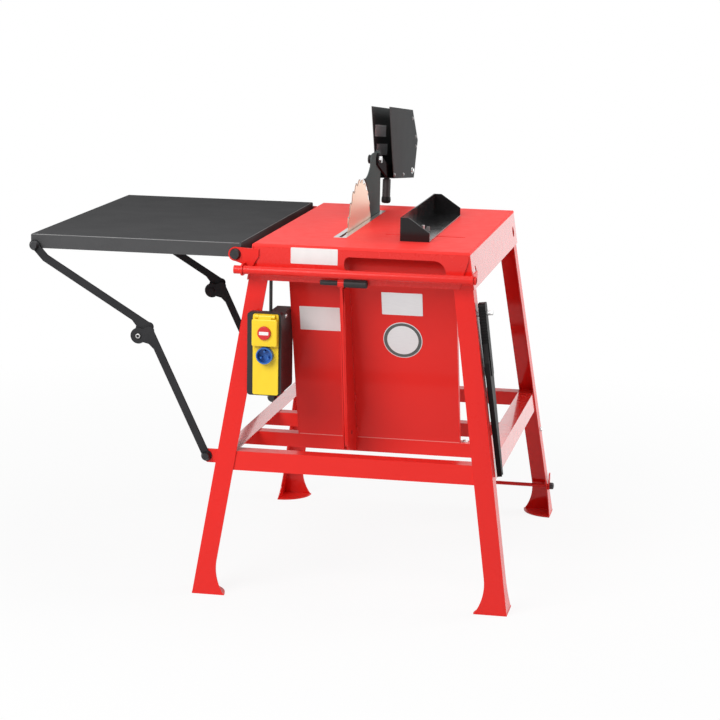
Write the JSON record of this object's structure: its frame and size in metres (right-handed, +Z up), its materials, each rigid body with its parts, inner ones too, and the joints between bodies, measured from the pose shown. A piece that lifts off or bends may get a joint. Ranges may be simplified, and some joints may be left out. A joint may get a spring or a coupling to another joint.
{
  "type": "firewood saw bench",
  "caption": "Sheet-metal circular saw bench with splayed legs, folding side table on jointed stays, rip fence, riving knife with swing-back guard, belt drive and switch",
  "frame": {"origin": "on the floor under the middle of the whole object", "axes": "+X to the operator's right, +Y away from the operator, +Z up"},
  "size_m": [1.2052, 1.2162, 1.128],
  "materials": {
    "red_paint": "gloss",
    "black_paint": "satin",
    "bright_steel": "satin",
    "blade_steel": "polished",
    "knife_steel": "satin",
    "dark_steel": "satin",
    "zinc": "satin",
    "cast_iron": "matte",
    "motor_alloy": "satin",
    "belt_rubber": "matte",
    "lead_rubber": "satin",
    "black_plastic": "matte",
    "yellow_plastic": "gloss",
    "red_plastic": "gloss",
    "green_plastic": "gloss",
    "blue_plastic": "gloss"
  },
  "bodies": {
    "bench": {"table_top": "red_paint", "table_skirts": "red_paint", "leg_front_left": "red_paint", "leg_front_right": "red_paint", "leg_rear_left": "red_paint", "leg_rear_right": "red_paint", "foot_plates": "red_paint", "cross_stretchers": "red_paint", "side_stretchers": "red_paint", "cross_beams": "red_paint", "front_rail": "red_paint", "rail_brackets": "red_paint", "hinge_brackets": "red_paint", "stay_brackets": "red_paint", "front_panel_left": "red_paint", "front_panel_right": "red_paint", "casing_walls": "red_paint", "column": "red_paint", "table_insert": "bright_steel", "pivot_bolts": "dark_steel", "arbor_bearings": "cast_iron", "motor_body": "motor_alloy", "fan_cover": "motor_alloy", "motor_cradle": "black_paint", "drive_belt": "belt_rubber", "riving_knife": "knife_steel", "knife_clamp": "cast_iron", "guard_bolt": "zinc", "switch_bracket": "black_plastic", "switch_housing": "black_plastic", "switch_cover": "yellow_plastic", "power_inlet": "blue_plastic", "motor_lead": "lead_rubber", "push_stick_screw": "zinc", "rear_axle": "red_paint"},
    "arbor": {"saw_blade": "blade_steel", "blade_clamp": "bright_steel", "arbor_shaft": "bright_steel", "arbor_pulley": "cast_iron"},
    "rotor": {"motor_shaft": "bright_steel", "motor_pulley": "cast_iron"},
    "guard": {"guard_plates": "black_paint", "guard_spine": "black_paint", "guard_grip": "black_plastic"},
    "guard_knob": {"guard_knob": "black_plastic"},
    "fence": {"fence_body": "black_paint", "fence_bolt": "zinc"},
    "wing_nut": {"fence_wing_nut": "zinc"},
    "side_table": {"wing_table": "black_paint", "wing_bolts": "dark_steel"},
    "stay_upper_front": {"stay_upper_front": "black_paint"},
    "stay_upper_rear": {"stay_upper_rear": "black_paint"},
    "stay_lower_front": {"stay_lower_front": "black_paint"},
    "stay_lower_rear": {"stay_lower_rear": "black_paint"},
    "lever": {"lever_arm": "red_paint", "handle_grips": "black_plastic"},
    "flap": {"switch_flap": "yellow_plastic"},
    "stop_button": {"stop_button": "red_plastic"},
    "start_button": {"start_button": "green_plastic"},
    "push_stick": {"push_stick": "black_plastic"}
  },
  "joints": [
    {"name": "extension_fold", "type": "hinge", "parent": "bench", "child": "side_table", "pos_m": [-0.08864, -0.11407, 0.823], "axis": [0, -1, 0], "range_deg": [0, 62]},
    {"name": "stay_upper_front_turn", "type": "hinge", "parent": "side_table", "child": "stay_upper_front", "pos_m": [-0.58964, -0.52357, 0.823], "axis": [0, -1, 0], "range_deg": [0, 33.5]},
    {"name": "stay_lower_front_turn", "type": "hinge", "parent": "bench", "child": "stay_lower_front", "pos_m": [-0.15564, -0.52957, 0.326], "axis": [0, -1, 0], "range_deg": [-34.5, 0]},
    {"name": "stay_upper_rear_turn", "type": "hinge", "parent": "side_table", "child": "stay_upper_rear", "pos_m": [-0.58964, 0.16743, 0.823], "axis": [0, -1, 0], "range_deg": [0, 33.5]},
    {"name": "stay_lower_rear_turn", "type": "hinge", "parent": "bench", "child": "stay_lower_rear", "pos_m": [-0.15564, 0.16143, 0.326], "axis": [0, -1, 0], "range_deg": [-34.5, 0]},
    {"name": "guard_swing", "type": "hinge", "parent": "bench", "child": "guard", "pos_m": [0.13686, 0.11093, 0.993], "axis": [1, 0, 0], "range_deg": [0, 185.9]},
    {"name": "guard_knob_turn", "type": "hinge", "parent": "bench", "child": "guard_knob", "pos_m": [0.12336, 0.11093, 0.993], "axis": [1, 0, 0], "range_deg": [-180, 180]},
    {"name": "arbor_spin", "type": "hinge", "parent": "bench", "child": "arbor", "pos_m": [0.21436, -0.11707, 0.80748], "axis": [1, 0, 0], "continuous": true},
    {"name": "motor_spin", "type": "hinge", "parent": "bench", "child": "rotor", "pos_m": [0.25436, -0.20257, 0.47], "axis": [1, 0, 0], "continuous": true},
    {"name": "fence_slide", "type": "slide", "parent": "bench", "child": "fence", "axis": [1, 0, 0], "range_m": [-0.085, 0.1]},
    {"name": "wing_nut_turn", "type": "hinge", "parent": "fence", "child": "wing_nut", "pos_m": [0.32236, -0.26707, 0.86], "axis": [0, 0, 1], "range_deg": [-180, 180]},
    {"name": "lever_pull", "type": "hinge", "parent": "bench", "child": "lever", "pos_m": [0.17236, -0.39907, 0.375], "axis": [1, 0, 0], "range_deg": [0, 12]},
    {"name": "flap_open", "type": "hinge", "parent": "bench", "child": "flap", "pos_m": [0.00086, -0.58229, 0.686], "axis": [-1, 0, 0], "range_deg": [0, 100]},
    {"name": "stop_press", "type": "slide", "parent": "flap", "child": "stop_button", "axis": [0, 1, 0], "range_m": [0, 0.004], "stiffness_N_per_m": 600, "springref_m": -0.004},
    {"name": "start_press", "type": "slide", "parent": "bench", "child": "start_button", "axis": [0, 1, 0], "range_m": [0, 0.003], "stiffness_N_per_m": 600, "springref_m": -0.004},
    {"name": "push_stick_swing", "type": "hinge", "parent": "bench", "child": "push_stick", "pos_m": [0.49481, -0.49207, 0.702], "axis": [0.9915, 0, 0.13], "range_deg": [-20, 20]}
  ],
  "couplings": [
    {"joint": "motor_spin", "follows": "arbor_spin", "ratio": 0.87624},
    {"joint": "stay_upper_front_turn", "follows": "extension_fold", "ratio": 0.53032},
    {"joint": "stay_lower_front_turn", "follows": "extension_fold", "ratio": -0.54387},
    {"joint": "stay_upper_rear_turn", "follows": "extension_fold", "ratio": 0.53032},
    {"joint": "stay_lower_rear_turn", "follows": "extension_fold", "ratio": -0.54387}
  ]
}
